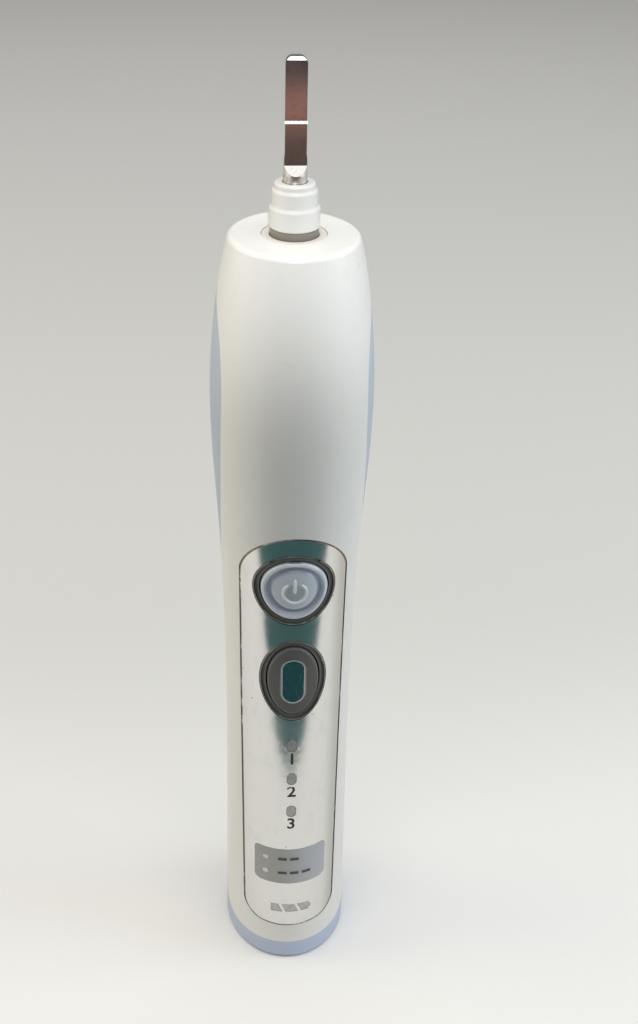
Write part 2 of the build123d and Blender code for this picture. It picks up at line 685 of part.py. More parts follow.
def chassis():
    """Carrier with a plate behind the circuit board and ribs that hold the battery."""
    plate = block(-reach, reach, plate_front_y, plate_back_y, bobbin_top, frame_bottom)
    floor = block(-reach, reach, plate_front_y, reach, bobbin_top, chassis_floor)
    roof = block(-reach, reach, plate_front_y, reach, chassis_roof, frame_bottom)
    cradle_pitch = BATTERY_LENGTH / (CRADLE_COUNT + 1)
    cradle_heights = [battery_bottom + cradle_pitch * (i + 1) for i in range(CRADLE_COUNT)]
    cradles = [
        block(-reach, reach, plate_front_y, reach, z, z + CHASSIS_RIB)
        - disc(BATTERY_RADIUS + BATTERY_CLEARANCE, z, z + CHASSIS_RIB, 0, BATTERY_Y)
        for z in cradle_heights
    ]
    standoffs = [rod(STANDOFF_RADIUS, x, z, board_back_y, plate_front_y) for x, z in board_screw_places()]
    screw_holes = [rod(SCREW_RADIUS, x, z, board_back_y, plate_back_y) for x, z in board_screw_places()]
    window_half = TAB_HALF_WIDTH + TAB_WINDOW_CLEARANCE
    windows = [
        block(-window_half, window_half, plate_front_y, plate_back_y, low, low + TAB_WINDOW_HEIGHT)
        for low in (chassis_floor, chassis_roof - TAB_WINDOW_HEIGHT)
    ]
    carrier = plate + floor + roof + cradles + standoffs - screw_holes - windows
    return carrier & casing(WALL + CHASSIS_CLEARANCE)


def battery_cell():
    return disc(BATTERY_RADIUS, battery_bottom, battery_top, 0, BATTERY_Y)


def battery_tabs():
    """Metal strips from the two ends of the battery to the back of the circuit board."""
    return Compound(children=[
        block(-TAB_HALF_WIDTH, TAB_HALF_WIDTH, board_back_y, BATTERY_Y + TAB_REACH, low, low + TAB_THICKNESS)
        for low in (chassis_floor, battery_top)
    ])


def drive_frame():
    """Carrier for the drive: floor, two rails, a rest for the circuit board and a nose for the bushes."""
    floor = block(-reach, reach, plate_front_y, reach, frame_bottom, stator_bottom)
    rails = [
        block(low, low + RAIL_THICKNESS, -RAIL_HALF_DEPTH, RAIL_HALF_DEPTH, frame_bottom, nose_bottom + FRAME_PLATE)
        for low in (RAIL_INNER_X, -RAIL_INNER_X - RAIL_THICKNESS)
    ]
    rail_outer_x = RAIL_INNER_X + RAIL_THICKNESS
    rest_high = board_top - BOARD_REST_DROP
    rest_low = rest_high - BOARD_REST_THICKNESS
    rest = block(-rail_outer_x, rail_outer_x, board_back_y, 0, rest_low, rest_high) - block(
        -RAIL_INNER_X, RAIL_INNER_X, board_back_y + BOARD_REST_DEPTH, reach, rest_low, rest_high
    )
    nose = disc(NOSE_RADIUS, nose_bottom, nose_top)
    lower_plate = slice_between(nose_bottom, nose_bottom + FRAME_PLATE)
    upper_plate = slice_between(nose_top - FRAME_PLATE, nose_top)
    screw_holes = [disc(SCREW_RADIUS, nose_bottom, nose_top, x) for x in (-ANCHOR_SCREW_X, ANCHOR_SCREW_X)]
    bore = disc(BUSH_RADIUS, nose_bottom, nose_top)
    frame = floor + rails + rest + nose + lower_plate + upper_plate - bore
    return (frame & casing(WALL + CHASSIS_CLEARANCE)) - [hole & lower_plate for hole in screw_holes]


def bush(low):
    return ring(BUSH_RADIUS, SHAFT_RADIUS + BUSH_CLEARANCE, low, low + BUSH_LENGTH)


def spring_anchor():
    """Block under the nose that holds the fixed end of the torsion spring."""
    half_depth = ANCHOR_DEPTH / 2
    anchor = block(-ANCHOR_HALF_LENGTH, ANCHOR_HALF_LENGTH, -half_depth, half_depth, anchor_bottom, nose_bottom)
    screw_holes = [disc(SCREW_RADIUS, anchor_bottom, nose_bottom, x) for x in (-ANCHOR_SCREW_X, ANCHOR_SCREW_X)]
    return anchor - disc(SHAFT_RADIUS + ANCHOR_HOLE_CLEARANCE, anchor_bottom, nose_bottom) - screw_holes


def anchor_screws():
    return Compound(children=[
        disc(SCREW_HEAD_RADIUS, anchor_bottom - SCREW_HEAD_HEIGHT, anchor_bottom, x)
        + disc(SCREW_RADIUS, anchor_bottom, nose_bottom + FRAME_PLATE, x)
        for x in (-ANCHOR_SCREW_X, ANCHOR_SCREW_X)
    ])


def torsion_spring():
    """Fork of two flat bars that twists between the rotor's hub and the anchor."""
    half_width = SPRING_WIDTH / 2
    bars = [
        block(x - SPRING_THICKNESS / 2, x + SPRING_THICKNESS / 2, -half_width, half_width, hub_top, anchor_bottom)
        for x in (-SPRING_X, SPRING_X)
    ]
    outer_x = SPRING_X + SPRING_THICKNESS / 2
    foot = block(-outer_x, outer_x, -half_width, half_width, hub_top, hub_top + SPRING_THICKNESS)
    hole = disc(SHAFT_RADIUS + SPRING_HOLE_CLEARANCE, hub_top, anchor_bottom)
    return bars[0] + bars[1] + foot - hole


def rotor_bracket():
    """Bar that carries the magnets, with a hub pressed on to the shaft."""
    half_length, half_depth = ROTOR_LENGTH / 2, ROTOR_DEPTH / 2
    bar = block(-half_length, half_length, -half_depth, half_depth, rotor_bottom, rotor_top)
    return bar + disc(HUB_RADIUS, rotor_bottom, hub_top) - disc(SHAFT_RADIUS, rotor_bottom, hub_top)


def rotor_magnets():
    half_length, half_depth = ROTOR_LENGTH / 2, ROTOR_DEPTH / 2
    return Compound(children=[
        block(low, low + MAGNET_LENGTH, -half_depth, half_depth, magnet_bottom, rotor_bottom)
        for low in (-half_length, half_length - MAGNET_LENGTH)
    ])


def stator_core():
    """E-shaped iron core, its legs pointing up at the magnets."""
    half_depth = STATOR_DEPTH / 2
    yoke = block(-stator_half_width, stator_half_width, -half_depth, half_depth, stator_bottom, stator_yoke_top)
    inner_x = stator_half_width - STATOR_OUTER_LEG
    leg_spans = (
        (-stator_half_width, -inner_x),
        (-STATOR_CENTRE_LEG / 2, STATOR_CENTRE_LEG / 2),
        (inner_x, stator_half_width),
    )
    legs = [block(low, high, -half_depth, half_depth, stator_yoke_top, stator_top) for low, high in leg_spans]
    return yoke + legs


def leg_sleeve(grow, low, high):
    """Upright block round the stator's centre leg, larger than the leg by the given amount all round."""
    half_x = STATOR_CENTRE_LEG / 2 + grow
    half_y = STATOR_DEPTH / 2 + grow
    return block(-half_x, half_x, -half_y, half_y, low, high)


drive_bobbin_top = stator_top - DRIVE_BOBBIN_INSET
drive_tube_grow = DRIVE_BOBBIN_CLEARANCE + DRIVE_BOBBIN_WALL
drive_flange_grow = drive_tube_grow + DRIVE_FLANGE_REACH


def coil_bobbin():
    low, high = stator_yoke_top, drive_bobbin_top
    tube = leg_sleeve(drive_tube_grow, low, high)
    lower_flange = leg_sleeve(drive_flange_grow, low, low + DRIVE_BOBBIN_WALL)
    upper_flange = leg_sleeve(drive_flange_grow, high - DRIVE_BOBBIN_WALL, high)
    return tube + lower_flange + upper_flange - leg_sleeve(DRIVE_BOBBIN_CLEARANCE, low, high)


def drive_coil():
    low, high = stator_yoke_top + DRIVE_BOBBIN_WALL, drive_bobbin_top - DRIVE_BOBBIN_WALL
    winding = leg_sleeve(drive_tube_grow + DRIVE_COIL_THICKNESS, low, high)
    winding = fillet(winding.edges().filter_by(Axis.Z), DRIVE_COIL_THICKNESS)
    return winding - leg_sleeve(drive_tube_grow, low, high)


def drive_pins():
    """Two pins from the drive bobbin's lower flange to the back of the circuit board."""
    flange_y = -STATOR_DEPTH / 2 - drive_flange_grow
    pin_height = stator_yoke_top + DRIVE_PIN_RADIUS
    return Compound(children=[
        rod(DRIVE_PIN_RADIUS, side * DRIVE_PIN_X, pin_height, board_back_y, flange_y) for side in (-1, 1)
    ])


def neck_ring():
    outer = NECK_HOLE_RADIUS - NECK_RING_CLEARANCE
    inner = COLLAR_RING_RADIUS + COLLAR_GROOVE
    return ring(outer, inner, nose_top, BODY_TOP - NECK_RING_SINK)


def collar_ring():
    """Ring round the shaft that holds its seal and carries the collar."""
    collar_bore = SHAFT_RADIUS + COLLAR_CLEARANCE
    body = ring(COLLAR_RING_RADIUS, collar_bore, nose_top, collar_bottom)
    return body - disc(SHAFT_SEAL_RADIUS, nose_top, nose_top + SHAFT_SEAL_HEIGHT)


def shaft_seal():
    return ring(SHAFT_SEAL_RADIUS, SHAFT_RADIUS + SHAFT_SEAL_CLEARANCE, nose_top, nose_top + SHAFT_SEAL_HEIGHT)


def shaft_collar():
    """Collar of three steps, turned about the shaft."""
    lower_top = collar_bottom + COLLAR_LOWER_HEIGHT
    middle_top = lower_top + COLLAR_MIDDLE_HEIGHT
    bore = SHAFT_RADIUS + COLLAR_CLEARANCE
    profile = make_face(Polyline(
        (bore, collar_bottom),
        (COLLAR_LOWER_RADIUS, collar_bottom),
        (COLLAR_LOWER_RADIUS, lower_top - COLLAR_STEP_SLOPE),
        (COLLAR_MIDDLE_RADIUS, lower_top),
        (COLLAR_MIDDLE_RADIUS, middle_top - COLLAR_STEP_SLOPE),
        (COLLAR_UPPER_RADIUS, middle_top),
        (COLLAR_UPPER_RADIUS, collar_top),
        (bore, collar_top),
        close=True,
    ))
    outer_corners = profile.vertices().filter_by(lambda v: v.X > bore + COLLAR_EDGE_RADIUS)
    return revolve(Plane.XZ * fillet(outer_corners, COLLAR_EDGE_RADIUS), Axis.Z)


def drive_shaft():
    """Steel shaft: round below, with a milled front and a narrower blade for the brush head."""
    shaft = disc(SHAFT_RADIUS, rotor_bottom, shaft_top)
    shoulder_low = collar_top + BLADE_START - BLADE_SHOULDER
    blade_low = collar_top + BLADE_START
    front_view = make_face(Polyline(
        (-SHAFT_RADIUS, rotor_bottom),
        (SHAFT_RADIUS, rotor_bottom),
        (SHAFT_RADIUS, shoulder_low),
        (BLADE_HALF_WIDTH, blade_low),
        (BLADE_HALF_WIDTH, shaft_top),
        (-BLADE_HALF_WIDTH, shaft_top),
        (-BLADE_HALF_WIDTH, blade_low),
        (-SHAFT_RADIUS, shoulder_low),
        close=True,
    ))
    front_view = fillet(front_view.vertices().sort_by(Axis.Y)[-2:], TIP_CORNER_RADIUS)
    flat_low = collar_top + FLAT_START
    latch_low = collar_top + LATCH_START
    milled = make_face(Polyline(
        (-SHAFT_RADIUS, flat_low),
        (FLAT_Y, flat_low + FLAT_RAMP),
        (FLAT_Y, latch_low),
        (LATCH_Y, latch_low + LATCH_RAMP),
        (LATCH_Y, shaft_top - TIP_BEVEL_HEIGHT),
        (LATCH_Y + TIP_BEVEL_DEPTH, shaft_top),
        (-2 * SHAFT_RADIUS, shaft_top),
        (-2 * SHAFT_RADIUS, flat_low),
        close=True,
    ))
    blade = shaft & extrude(Plane.XZ * front_view, amount=SHAFT_RADIUS, both=True)
    blade = blade - extrude(Plane.YZ * milled, amount=SHAFT_RADIUS, both=True)
    return chamfer(blade.faces().sort_by(Axis.Z)[-1].edges(), TIP_CHAMFER)


PIECES = {
    "front_shell": front_shell,
    "rear_shell": rear_shell,
    "end_cap": end_cap,
    "end_cap_seal": end_cap_seal,
    "charging_bobbin": charging_bobbin,
    "charging_coil": charging_coil,
    "charging_pins": charging_pins,
    "face_panel": face_panel,
    "panel_trim": panel_trim,
    "power_button": power_button,
    "power_button_gasket": power_button_gasket,
    "mode_button": mode_button,
    "mode_button_gasket": mode_button_gasket,
    "mode_window": mode_window,
    "mode_window_bezel": mode_window_bezel,
    "mode_lenses": lambda: lens_group("mode_lenses"),
    "routine_lenses": lambda: lens_group("routine_lenses"),
    "battery_lenses": lambda: lens_group("battery_lenses"),
    "power_switch": lambda: switch_body(POWER_HEIGHT),
    "mode_switch": lambda: switch_body(mode_height),
    "power_plunger": lambda: switch_plunger(POWER_HEIGHT),
    "mode_plunger": lambda: switch_plunger(mode_height),
    "circuit_board": circuit_board,
    "board_screws": board_screws,
    "indicator_leds": indicator_leds,
    "control_chips": control_chips,
    "chassis": chassis,
    "battery_cell": battery_cell,
    "battery_tabs": battery_tabs,
    "drive_frame": drive_frame,
    "lower_bush": lambda: bush(nose_bottom),
    "upper_bush": lambda: bush(nose_top - BUSH_LENGTH),
    "spring_anchor": spring_anchor,
    "anchor_screws": anchor_screws,
    "torsion_spring": torsion_spring,
    "rotor_bracket": rotor_bracket,
    "rotor_magnets": rotor_magnets,
    "stator_core": stator_core,
    "coil_bobbin": coil_bobbin,
    "drive_coil": drive_coil,
    "drive_pins": drive_pins,
    "neck_ring": neck_ring,
    "collar_ring": collar_ring,
    "shaft_seal": shaft_seal,
    "shaft_collar": shaft_collar,
    "drive_shaft": drive_shaft,
}

os.makedirs("parts", exist_ok=True)
for name, make in PIECES.items():
    export_step(make(), os.path.join("parts", name + ".step"))
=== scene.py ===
import math

import bmesh
import bpy
from mathutils import Matrix, Vector
from mathutils.bvhtree import BVHTree


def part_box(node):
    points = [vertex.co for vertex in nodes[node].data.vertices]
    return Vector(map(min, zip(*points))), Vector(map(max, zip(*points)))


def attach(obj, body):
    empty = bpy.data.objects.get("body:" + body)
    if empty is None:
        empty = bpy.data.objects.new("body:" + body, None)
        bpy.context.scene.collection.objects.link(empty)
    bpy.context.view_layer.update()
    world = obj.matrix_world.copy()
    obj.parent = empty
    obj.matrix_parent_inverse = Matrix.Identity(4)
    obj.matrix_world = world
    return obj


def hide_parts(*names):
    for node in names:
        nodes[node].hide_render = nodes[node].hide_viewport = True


# Looks of the sonic toothbrush handle: finishes of its parts, soft button edges, printed marks and stage.
# Metres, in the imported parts' frame: +Z runs up the drive shaft and the face panel looks along -Y.

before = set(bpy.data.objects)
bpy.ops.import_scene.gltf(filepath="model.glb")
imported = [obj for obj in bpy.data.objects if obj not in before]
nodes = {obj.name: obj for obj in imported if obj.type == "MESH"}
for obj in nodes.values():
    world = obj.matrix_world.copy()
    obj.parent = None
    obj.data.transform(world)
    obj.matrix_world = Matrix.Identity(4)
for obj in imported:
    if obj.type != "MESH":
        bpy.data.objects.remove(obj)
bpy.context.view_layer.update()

MM = 0.001

# Power button: raised rim, sloping moat and a low domed island, seen as a turned profile
ISLAND_RADIUS = 4.55 * MM
ISLAND_SLOPE = 0.7 * MM
ISLAND_HEIGHT = -0.12 * MM
ISLAND_DOME = 0.42 * MM
MOAT_HEIGHT = -0.55 * MM
RIM_HEIGHT = 0.25 * MM
RIM_SLOPE = 1.15 * MM
RIM_TOP_WIDTH = 0.05 * MM
RIM_ROUNDING = 0.5 * MM
RIM_FALL = 0.4 * MM
BUTTON_DEPTH = 2.4 * MM
SYMBOL_RADIUS = 2.25 * MM
SYMBOL_DROP = 0.35 * MM
SYMBOL_STROKE = 0.27 * MM
SYMBOL_GAP = math.radians(70)
SYMBOL_BAR = 3.1 * MM

# Rolled lip round each button opening, and a bead on the rubber inside it
ROLL_HEIGHT = 0.1 * MM
ROLL_FOOT = -0.55 * MM
LIP_INSET, LIP_WIDTH, LIP_CREST = 0.12 * MM, 0.26 * MM, 0.03 * MM
BEAD_INSET, BEAD_WIDTH, BEAD_CREST = 0.6 * MM, 0.2 * MM, -0.3 * MM

# Steel shaft above the collar, and its dull round root
SHAFT_EXPOSED = 21.35 * MM
ROOT_HEIGHT = 1.5 * MM
ROOT_BLUR = 0.3 * MM

# Printed marks on the face panel
PRINT_LIFT = 0.03 * MM
MODE_COUNT = 3
LENS_HEIGHT = 3.05 * MM
LABEL_DROP = 3.5 * MM
LABEL_SIZE = 3.9 * MM
LABEL_BOLD = 0.08 * MM
LABEL_CUTS = 6
PATCH_COLUMNS = 64
PATCH_HALF_WIDTH = 7.6 * MM
PATCH_MARGIN_TOP = 2.1 * MM
PATCH_MARGIN_BOTTOM = 2.4 * MM
PATCH_TOP_CORNER = 0.9 * MM
PATCH_BOTTOM_CORNER = 1.3 * MM
DOT_COLUMNS = 24
DOT_RADIUS = 0.62 * MM
DASH_COLUMNS = 8
DASH_LENGTH = 1.9 * MM
DASH_HEIGHT = 0.75 * MM
DASH_PITCH = 2.6 * MM
DASH_START = 2.6 * MM

# Camera at the photograph's viewing angle, for an image of 638 by 1024
IMAGE_HEIGHT = 1024
FOCAL_PIXELS = 1450
SENSOR = 36.0
CAMERA_PLACE = Vector((-18.37, -247.77, 251.61)) * MM
CAMERA_PITCH = math.radians(30.291)
CAMERA_YAW = math.radians(5.562)
CAMERA_ROLL = math.radians(1.518)

# Spot that lights the upper part of the handle from above the camera
SPOT_PLACE = (-0.02, -0.50, 0.40)
SPOT_TARGET = (0, -0.015, 0.211)
SPOT_HALF_ANGLE = math.radians(8)
SPOT_BLEND = 0.64
SPOT_RADIUS = 0.01
SPOT_WATTS = 5.5

# Stage: floor, two cards that meet just over it, colours of the lamps and the even room light
FLOOR_REACH = 4
CARD_LIFT = 0.5 * MM
CARD_MEETING = -0.43
CARD_BLUR = 0.03
LAMP_WHITE = (1.0, 0.99, 0.97)
LAMP_WARM = (1.0, 0.89, 0.65)
LAMP_COOL = (0.86, 0.95, 1.0)
ROOM_COLOR = (0.80, 0.80, 0.79, 1)
ROOM_STRENGTH = 0.27

# Rays that find the casing's front: how far off they start, and a place beside the openings
PROBE_REACH = 0.1
PROBE_X = 9.0 * MM

# Mesh and shader detail
SHARP_ANGLE = math.radians(50)
SURROUND_SAMPLES = 8


def middle_height(name):
    """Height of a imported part's middle."""
    low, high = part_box(name)
    return (low.z + high.z) / 2


def darker(color, share):
    """Colour with a share of its light."""
    return tuple(channel * share for channel in color)


class Finish:
    """Material round one Principled shader, fed by textures that are read in the object's own metres."""

    def __init__(self, name, color, roughness=0.5, metallic=0.0):
        self.material = bpy.data.materials.new(name)
        self.material.use_nodes = True
        self.tree = self.material.node_tree
        self.shader = self.tree.nodes["Principled BSDF"]
        self.shader.inputs["Base Color"].default_value = (*color, 1.0)
        self.shader.inputs["Roughness"].default_value = roughness
        self.shader.inputs["Metallic"].default_value = metallic
        self.place = self.node("ShaderNodeTexCoord").outputs["Object"]

    def node(self, kind, inputs=None, **settings):
        """New node with its settings made, and its inputs set or linked."""
        made = self.tree.nodes.new(kind)
        for setting, value in settings.items():
            setattr(made, setting, value)
        for socket, value in (inputs or {}).items():
            if isinstance(value, bpy.types.NodeSocket):
                self.tree.links.new(value, made.inputs[socket])
            else:
                made.inputs[socket].default_value = value
        return made

    def axis(self, letter):
        """One coordinate of the place on the object."""
        return self.node("ShaderNodeSeparateXYZ", {0: self.place}).outputs[letter]

    def distance(self, z):
        """Distance from a line that runs along Y at a height over the frame's middle."""
        across, up = self.axis("X"), self.math("SUBTRACT", self.axis("Z"), z)
        return self.math("SQRT", self.math("ADD", self.math("POWER", across, 2), self.math("POWER", up, 2)))

    def math(self, operation, first, second=0.0):
        """Result of a sum on numbers or outputs."""
        return self.node("ShaderNodeMath", {0: first, 1: second}, operation=operation).outputs[0]

    def step(self, value, low, high):
        """Smooth step from 0 at low to 1 at high, falling where low is the larger."""
        limits = {"Value": value, "From Min": low, "From Max": high}
        return self.node("ShaderNodeMapRange", limits, interpolation_type="SMOOTHSTEP").outputs["Result"]

    def noise(self, size, stretch=(1, 1, 1), detail=3.0):
        """Cloudy value with patches of about the given size, drawn out along the axes by the stretch."""
        scale = [1 / (size * s) for s in stretch]
        place = self.node("ShaderNodeVectorMath", {0: self.place, 1: scale}, operation="MULTIPLY")
        inputs = {"Vector": place.outputs[0], "Scale": 1.0, "Detail": detail}
        return self.node("ShaderNodeTexNoise", inputs).outputs["Fac"]

    def patches(self, size, low, high, stretch=(1, 1, 1), detail=3.0):
        """Soft-edged patches of about the given size, where the cloudy value passes from low to high."""
        return self.step(self.noise(size, stretch, detail), low, high)

    def cells(self, size):
        """Distance to the nearest of many scattered points, in units of the cell size."""
        inputs = {"Vector": self.place, "Scale": 1 / size}
        return self.node("ShaderNodeTexVoronoi", inputs).outputs["Distance"]

    def closeness(self, distance, inside):
        """Share of the directions, outside or inside the part, that meet a surface within the distance."""
        settings = {"samples": SURROUND_SAMPLES, "inside": inside}
        surround = self.node("ShaderNodeAmbientOcclusion", {"Distance": distance}, **settings)
        return self.math("SUBTRACT", 1.0, surround.outputs["AO"])

    def crevice(self, distance):
        """1 deep in corners and seams, 0 on open surfaces."""
        return self.closeness(distance, inside=False)

    def edge(self, distance):
        """1 on outward edges, 0 further than the distance from them."""
        return self.closeness(distance, inside=True)

    def tint(self, mask, color, share=1.0):
        """Turns the base colour towards another where the mask is 1, all the way or by a share."""
        if share < 1.0:
            mask = self.math("MULTIPLY", mask, share)
        base = self.shader.inputs["Base Color"]
        before = base.links[0].from_socket if base.is_linked else tuple(base.default_value)
        mix = self.node("ShaderNodeMix", {0: mask, 6: before, 7: (*color, 1.0)}, data_type="RGBA")
        self.tree.links.new(mix.outputs[2], base)

    def vary(self, socket, mask, low, high):
        """Lets a shader value run from low to high with the mask."""
        spread = self.node("ShaderNodeMapRange", {"Value": mask, "To Min": low, "To Max": high})
        self.tree.links.new(spread.outputs["Result"], self.shader.inputs[socket])

    def bump(self, height, depth):
        """Raises the surface by up to the depth where the height is 1."""
        normal = self.shader.inputs["Normal"]
        inputs = {"Height": height, "Distance": depth}
        if normal.is_linked:
            inputs["Normal"] = normal.links[0].from_socket
        bumped = self.node("ShaderNodeBump", inputs)
        self.tree.links.new(bumped.outputs["Normal"], normal)

    def set(self, **sockets):
        """Sets plain values on the shader, underscores standing for spaces."""
        for name, value in sockets.items():
            self.shader.inputs[name.replace("_", " ")].default_value = value


def moulded_plastic(name, color, shade, roughness, grain=0.35 * MM, depth=0.004 * MM):
    """Satin moulded plastic: faint clouds of another shade, uneven gloss and a fine spark-eroded grain."""
    finish = Finish(name, color, roughness)
    finish.tint(finish.patches(14 * MM, 0.4, 0.75), shade)
    finish.vary("Roughness", finish.noise(3 * MM), roughness - 0.05, roughness + 0.06)
    finish.bump(finish.noise(grain), depth)
    return finish


def white_casing():
    """Satin white plastic, stained near the top, painted shade towards the foot, dirt and painted shade in
    its seams.
    """
    finish = moulded_plastic("white_casing", (0.86, 0.86, 0.84), (0.85, 0.847, 0.815), 0.36)
    near_top = finish.step(finish.axis("Z"), 118 * MM, 150 * MM)
    stains = finish.math("MULTIPLY", finish.patches(3 * MM, 0.58, 0.74), near_top)
    finish.tint(stains, (0.80, 0.77, 0.60), share=0.3)
    spots = finish.step(finish.cells(11 * MM), 0.04, 0.015)
    finish.tint(spots, (0.52, 0.45, 0.28), share=0.35)
    # Painted shade: the casing darker towards the foot.
    shade_towards_foot = finish.step(finish.axis("Z"), 80 * MM, 15 * MM)
    finish.tint(shade_towards_foot, (0.79, 0.785, 0.765))
    # Brown dirt in the seams, laid by a crevice mask, so it is painted shade there too.
    seam_dirt_and_shade = finish.math("MULTIPLY", finish.crevice(0.5 * MM), finish.patches(2 * MM, 0.35, 0.6))
    finish.tint(seam_dirt_and_shade, (0.22, 0.16, 0.10), share=0.7)
    return finish.material


def blue_grip():
    """Soft light blue grip, scuffed along its length, with painted shade making it deeper blue at the foot.
    """
    color, shade = (0.53, 0.60, 0.70), (0.50, 0.58, 0.70)
    finish = moulded_plastic("blue_grip", color, shade, 0.5, grain=0.22 * MM, depth=0.008 * MM)
    scuffs = finish.patches(4 * MM, 0.6, 0.78, stretch=(1, 1, 3))
    finish.tint(scuffs, (0.62, 0.66, 0.72), share=0.25)
    # Painted shade: the grip darker and bluer towards the foot.
    foot = finish.step(finish.axis("Z"), 16 * MM, 5 * MM)
    finish.tint(foot, (0.48, 0.55, 0.70))
    return finish.material


def silver_panel():
    """Satin metal foil: drawn grain across it, tiny flakes, a few dark specks, painted shade in its corners
    and a darker right edge."""
    finish = Finish("silver_panel", (0.69, 0.685, 0.665), metallic=1.0)
    flakes = finish.patches(0.12 * MM, 0.35, 0.7, detail=1.0)
    finish.tint(flakes, (0.76, 0.755, 0.74))
    clouds = finish.patches(2 * MM, 0.5, 0.75, stretch=(1, 1, 2))
    finish.tint(clouds, (0.60, 0.595, 0.57), share=0.35)
    right_edge = finish.step(finish.axis("X"), 6.8 * MM, 9.9 * MM)
    finish.tint(right_edge, (0.51, 0.503, 0.473))
    finish.vary("Roughness", finish.noise(2.5 * MM, (3, 1, 1)), 0.13, 0.19)
    specks = finish.step(finish.cells(4.5 * MM), 0.05, 0.028)
    finish.tint(specks, (0.12, 0.09, 0.07), share=0.7)
    # Painted shade: brownish dark round the openings and in the corners, from a crevice mask.
    finish.tint(finish.crevice(0.4 * MM), (0.25, 0.22, 0.19), share=0.5)
    finish.bump(finish.noise(0.25 * MM, (8, 1, 1)), 0.0012 * MM)
    return finish.material


def panel_edge():
    """Brown oxidised edging, with bright streaks that are painted highlights."""
    finish = Finish("panel_edge", (0.23, 0.18, 0.13), metallic=0.8)
    # Painted highlight: bright streaks along the edging.
    finish.tint(finish.patches(7 * MM, 0.58, 0.68), (0.70, 0.68, 0.65))
    finish.tint(finish.patches(1.2 * MM, 0.5, 0.7), (0.33, 0.26, 0.185))
    finish.vary("Roughness", finish.noise(0.8 * MM), 0.2, 0.45)
    finish.bump(finish.noise(0.3 * MM), 0.01 * MM)
    return finish.material


def blue_button():
    """Pale blue plastic, with painted highlights along its edges and painted shade in its hollows, its moat
    and inside the symbol.
    """
    color, shade = (0.61, 0.68, 0.765), (0.58, 0.65, 0.745)
    finish = moulded_plastic("blue_button", color, shade, 0.36, grain=0.25 * MM, depth=0.003 * MM)
    middle_z = middle_height("power_button")
    # Painted shade inside the symbol ring, in place of the shade of a shallow dip there.
    symbol_shade = finish.step(finish.distance(middle_z - SYMBOL_DROP), SYMBOL_RADIUS, 0.7 * SYMBOL_RADIUS)
    finish.tint(symbol_shade, (0.36, 0.395, 0.42), share=0.65)
    reach = finish.distance(middle_z)
    past_island = finish.step(reach, ISLAND_RADIUS - ISLAND_SLOPE, ISLAND_RADIUS)
    rim_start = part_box("power_button")[1].x - RIM_ROUNDING
    inside_rim = finish.step(reach, rim_start, rim_start - RIM_SLOPE / 2)
    # Painted shade: the moat between island and rim darker.
    moat = finish.math("MULTIPLY", past_island, inside_rim)
    finish.tint(moat, (0.40, 0.45, 0.56))
    # Painted shade: bluish dark in the button's hollows, from a crevice mask.
    finish.tint(finish.crevice(1.2 * MM), (0.24, 0.29, 0.40), share=0.7)
    # Painted highlight: a pale line along the button's outward edges, from an edge mask.
    polished = finish.step(finish.edge(0.6 * MM), 0.08, 0.28)
    finish.tint(polished, (0.93, 0.955, 0.965))
    finish.set(Coat_Weight=1.0, Coat_Roughness=0.15)
    return finish.material


def grey_button():
    """Dark grey plastic with a few pale specks, and a painted highlight along its edge."""
    finish = moulded_plastic("grey_button", (0.125, 0.123, 0.118), (0.112, 0.11, 0.105), 0.42, 0.25 * MM)
    specks = finish.step(finish.cells(2.2 * MM), 0.06, 0.03)
    finish.tint(specks, (0.3, 0.29, 0.27))
    # Painted highlight: a paler line along the button's edge.
    rubbed = finish.step(finish.edge(0.7 * MM), 0.36, 0.55)
    finish.tint(rubbed, (0.44, 0.43, 0.395))
    return finish.material


def dark_gasket():
    """Dark rubber with patches of brown dust."""
    finish = moulded_plastic("dark_gasket", (0.155, 0.152, 0.145), (0.12, 0.117, 0.112), 0.5, 0.2 * MM)
    finish.tint(finish.patches(1.2 * MM, 0.6, 0.75), (0.17, 0.11, 0.065), share=0.5)
    return finish.material


def recess_edge():
    """Worn satin metal of the rolled lips."""
    finish = Finish("recess_edge", (0.24, 0.23, 0.215), metallic=0.75)
    finish.tint(finish.patches(2.2 * MM, 0.5, 0.7), (0.42, 0.41, 0.39))
    finish.vary("Roughness", finish.noise(0.9 * MM), 0.22, 0.45)
    finish.bump(finish.noise(0.2 * MM), 0.004 * MM)
    return finish.material


def mirror_window():
    """Dark mirror with fine scratches."""
    finish = Finish("mirror_window", (0.24, 0.37, 0.39), metallic=1.0)
    scratches = finish.patches(0.5 * MM, 0.62, 0.7, stretch=(0.12, 1, 6), detail=2.0)
    finish.vary("Roughness", scratches, 0.05, 0.28)
    finish.tint(scratches, (0.55, 0.57, 0.56), share=0.35)
    finish.bump(scratches, 0.001 * MM)
    return finish.material


def bright_bezel():
    """Silver lacquer, dulled in places."""
    finish = Finish("bright_bezel", (0.66, 0.665, 0.66), metallic=0.3)
    finish.vary("Roughness", finish.noise(0.7 * MM), 0.2, 0.4)
    finish.tint(finish.patches(1.1 * MM, 0.6, 0.72), (0.55, 0.54, 0.52))
    return finish.material


def smoke_lens(name, color):
    """Smoky window over an unlit lamp, mirrored a little."""
    finish = Finish(name, color, 0.25, 0.5)
    finish.tint(finish.patches(0.9 * MM, 0.4, 0.7), darker(color, 0.8))
    finish.bump(finish.noise(0.15 * MM), 0.004 * MM)
    return finish.material


def turning_marks(finish, color):
    """Fine marks that run round a turned part, and darker patches."""
    finish.tint(finish.patches(0.8 * MM, 0.5, 0.8), darker(color, 0.82))
    finish.bump(finish.noise(0.06 * MM, (40, 40, 1), 2.0), 0.0006 * MM)
    return finish


def turned_metal(name, color, roughness):
    """Polished metal with uneven gloss and turning marks."""
    finish = Finish(name, color, roughness, 1.0)
    finish.vary("Roughness", finish.noise(1.5 * MM, (1, 1, 2)), roughness - 0.03, roughness + 0.06)
    return turning_marks(finish, color).material


